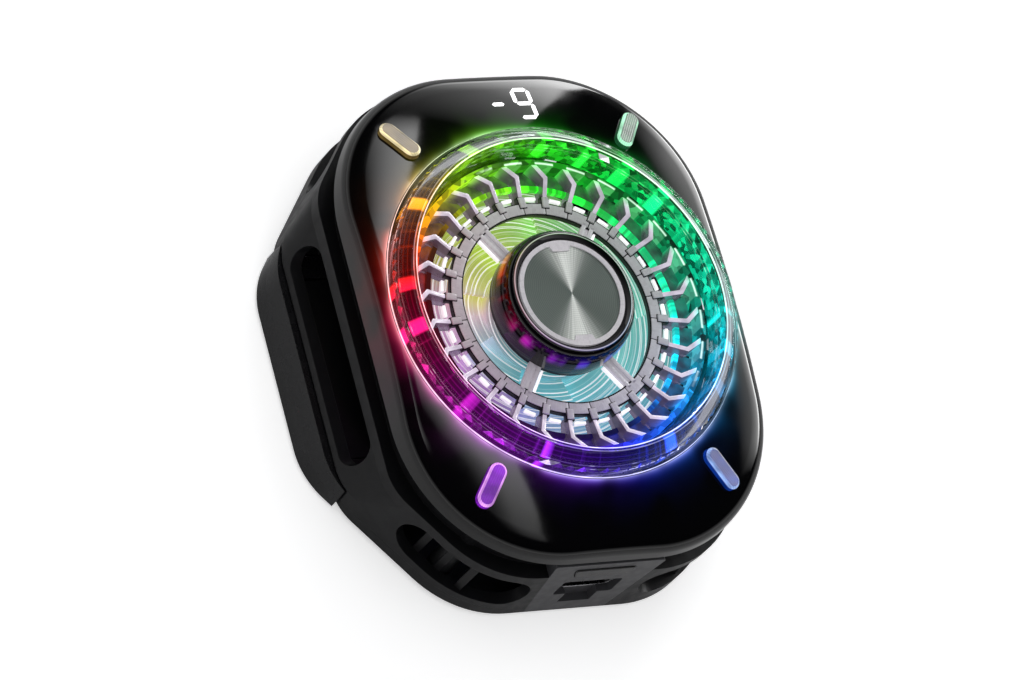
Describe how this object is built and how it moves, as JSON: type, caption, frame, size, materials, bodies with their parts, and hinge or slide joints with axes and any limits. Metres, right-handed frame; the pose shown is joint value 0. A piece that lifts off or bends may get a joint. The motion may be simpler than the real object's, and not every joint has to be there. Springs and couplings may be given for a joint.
{
  "type": "phone cooling fan",
  "caption": "Clip-on phone cooler with a fan under a domed grille, a clear light ring, a Peltier cold face, sprung clamp arms and fold-out claws.",
  "frame": {"origin": "centre of the cold face that lies against the phone", "axes": "+Z out of the fan, +Y along the phone away from the charging socket, +X to the right"},
  "size_m": [0.072, 0.0766, 0.027],
  "materials": {
    "body_black": "satin moulded",
    "arm_black": "semi-gloss moulded",
    "cover_gloss": "polished",
    "panel_grey": "satin",
    "button_black": "semi-gloss",
    "ring_clear": "clear moulded",
    "capsule_clear": "frosted clear",
    "light_guide": "clear prisms, lit from below",
    "digit_white": "translucent, lit from below",
    "grille_smoke": "smoked",
    "hub_gloss": "polished",
    "trim_light": "satin",
    "disc_steel": "turned",
    "rotor_white": "translucent",
    "fan_plastic": "moulded",
    "circuit_board": "solder mask",
    "led_white": "moulded",
    "steel": "plated",
    "copper": "enamelled wire",
    "bronze": "sintered",
    "magnet_black": "sintered",
    "sink_aluminium": "skived",
    "plate_aluminium": "bead blasted",
    "ceramic_white": "ceramic",
    "foam_black": "closed cell foam",
    "silicone_grey": "soft silicone",
    "connector_black": "moulded"
  },
  "bodies": {
    "root": {"mid_frame": "body_black", "rear_cover": "body_black", "front_shell": "cover_gloss", "port_panel": "panel_grey", "mode_switch": "connector_black", "switch_board": "circuit_board", "light_board": "circuit_board", "ring_leds": "led_white", "capsule_leds": "led_white", "prism_ring": "light_guide", "ring_lens": "ring_clear", "capsule_top_right": "capsule_clear", "capsule_top_left": "capsule_clear", "capsule_bottom_left": "capsule_clear", "capsule_bottom_right": "capsule_clear", "display_block": "connector_black", "display_segments": "digit_white", "fan_grille": "grille_smoke", "hub_cap": "hub_gloss", "hub_trim": "trim_light", "hub_disc": "disc_steel", "fan_base": "fan_plastic", "bearing_bush": "bronze", "motor_board": "circuit_board", "stator_core": "steel", "stator_coils": "copper", "heat_sink": "sink_aluminium", "peltier_module": "ceramic_white", "foam_frame": "foam_black", "cold_plate": "plate_aluminium", "contact_pad": "silicone_grey", "main_board": "circuit_board", "usb_socket": "steel", "usb_tongue": "connector_black", "rear_screws": "steel", "sink_screws": "steel", "shell_screws": "steel", "arm_springs_left": "steel", "arm_springs_right": "steel"},
    "fan": {"rotor": "rotor_white", "rotor_magnet": "magnet_black", "fan_shaft": "steel"},
    "button": {"mode_button": "button_black"},
    "left_arm": {"arm_left": "arm_black", "claw_pin_left": "steel"},
    "right_arm": {"arm_right": "arm_black", "claw_pin_right": "steel"},
    "left_claw": {"claw_left": "body_black", "claw_pad_left": "silicone_grey"},
    "right_claw": {"claw_right": "body_black", "claw_pad_right": "silicone_grey"}
  },
  "joints": [
    {"name": "fan_spin", "type": "hinge", "parent": "root", "child": "fan", "pos_m": [0, 0, 0.015], "axis": [0, 0, 1], "continuous": true},
    {"name": "button_press", "type": "slide", "parent": "root", "child": "button", "axis": [0, 1, 0], "range_m": [0, 0.0005], "stiffness_N_per_m": 1500, "springref_m": -0.0005},
    {"name": "left_arm_slide", "type": "slide", "parent": "root", "child": "left_arm", "axis": [-1, 0, 0], "range_m": [0, 0.008], "stiffness_N_per_m": 150, "springref_m": -0.02},
    {"name": "left_claw_fold", "type": "hinge", "parent": "left_arm", "child": "left_claw", "pos_m": [-0.0331, 0, 0.0016], "axis": [0, 1, 0], "range_deg": [0, 90]},
    {"name": "right_arm_slide", "type": "slide", "parent": "root", "child": "right_arm", "axis": [1, 0, 0], "range_m": [0, 0.008], "stiffness_N_per_m": 150, "springref_m": -0.02},
    {"name": "right_claw_fold", "type": "hinge", "parent": "right_arm", "child": "right_claw", "pos_m": [0.0331, 0, 0.0016], "axis": [0, -1, 0], "range_deg": [0, 90]}
  ]
}
